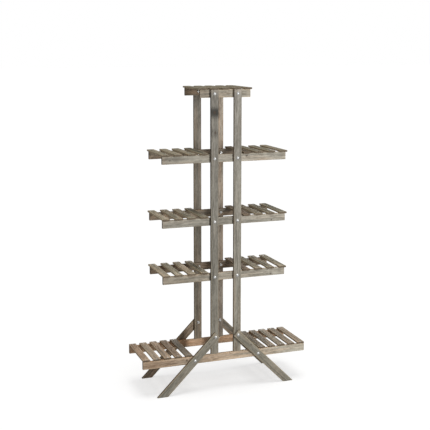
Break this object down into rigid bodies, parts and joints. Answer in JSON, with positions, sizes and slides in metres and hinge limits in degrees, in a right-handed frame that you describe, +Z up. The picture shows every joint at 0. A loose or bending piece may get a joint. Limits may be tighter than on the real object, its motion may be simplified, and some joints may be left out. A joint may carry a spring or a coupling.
{
  "type": "plant rack",
  "caption": "Tall free-standing wooden plant rack: slatted tiers cantilever left and right from a narrow bolted post frame, over a wider bottom deck on splayed legs.",
  "frame": {"origin": "on the floor, in the middle of the rack's footprint", "axes": "+Z up; X along the tiers, +X to the rack's right seen from the front; -Y is the front"},
  "size_m": [0.8, 0.285, 1.4],
  "materials": {
    "frame_wood": "oiled softwood boards, weathered grey-brown, with eased edges",
    "slat_wood": "oiled softwood slats, weathered grey-brown, with eased edges",
    "zinc_steel": "bright zinc plate"
  },
  "bodies": {
    "root": {"coach_bolts": "zinc_steel", "leg_back_left": "frame_wood", "leg_back_right": "frame_wood", "leg_front_left": "frame_wood", "leg_front_right": "frame_wood", "nuts": "zinc_steel", "post_back_left": "frame_wood", "post_back_right": "frame_wood", "post_front_left": "frame_wood", "post_front_right": "frame_wood", "rail_bottom_back": "frame_wood", "rail_bottom_front": "frame_wood", "rail_fourth_back": "frame_wood", "rail_fourth_front": "frame_wood", "rail_second_back": "frame_wood", "rail_second_front": "frame_wood", "rail_third_back": "frame_wood", "rail_third_front": "frame_wood", "rail_top_back": "frame_wood", "rail_top_front": "frame_wood", "slat_bottom_left_1": "slat_wood", "slat_bottom_left_2": "slat_wood", "slat_bottom_left_3": "slat_wood", "slat_bottom_left_4": "slat_wood", "slat_bottom_left_5": "slat_wood", "slat_bottom_right_1": "slat_wood", "slat_bottom_right_2": "slat_wood", "slat_bottom_right_3": "slat_wood", "slat_bottom_right_4": "slat_wood", "slat_bottom_right_5": "slat_wood", "slat_fourth_left_1": "slat_wood", "slat_fourth_left_2": "slat_wood", "slat_fourth_left_3": "slat_wood", "slat_fourth_left_4": "slat_wood", "slat_fourth_right_1": "slat_wood", "slat_fourth_right_2": "slat_wood", "slat_fourth_right_3": "slat_wood", "slat_fourth_right_4": "slat_wood", "slat_second_left_1": "slat_wood", "slat_second_left_2": "slat_wood", "slat_second_left_3": "slat_wood", "slat_second_left_4": "slat_wood", "slat_second_right_1": "slat_wood", "slat_second_right_2": "slat_wood", "slat_second_right_3": "slat_wood", "slat_second_right_4": "slat_wood", "slat_third_left_1": "slat_wood", "slat_third_left_2": "slat_wood", "slat_third_left_3": "slat_wood", "slat_third_left_4": "slat_wood", "slat_third_right_1": "slat_wood", "slat_third_right_2": "slat_wood", "slat_third_right_3": "slat_wood", "slat_third_right_4": "slat_wood", "slat_top_1": "slat_wood", "slat_top_2": "slat_wood", "slat_top_3": "slat_wood", "slat_top_4": "slat_wood", "slat_top_5": "slat_wood", "washers": "zinc_steel"}
  },
  "joints": []
}
